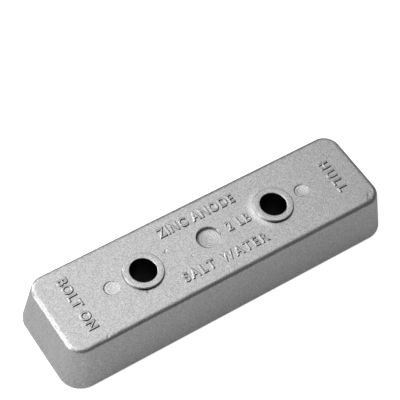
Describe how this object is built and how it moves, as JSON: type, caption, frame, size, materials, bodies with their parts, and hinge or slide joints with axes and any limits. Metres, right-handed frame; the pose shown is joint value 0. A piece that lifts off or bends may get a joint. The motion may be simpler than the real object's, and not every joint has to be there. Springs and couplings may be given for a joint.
{
  "type": "sacrificial anode",
  "caption": "Rectangular cast zinc hull anode, tapered towards its outer face, with rounded corners and a raised boss round each straight-through bolt hole.",
  "frame": {"origin": "middle of the seat, the plane of the pads on the base that bear on the hull", "axes": "+X along the casting, +Y across it, +Z out from the hull through the outer face"},
  "size_m": [0.1522, 0.0452, 0.0237],
  "materials": {
    "cast_zinc": "satin as-cast zinc with a fine grain"
  },
  "bodies": {
    "root": {"anode_casting": "cast_zinc"}
  },
  "joints": []
}
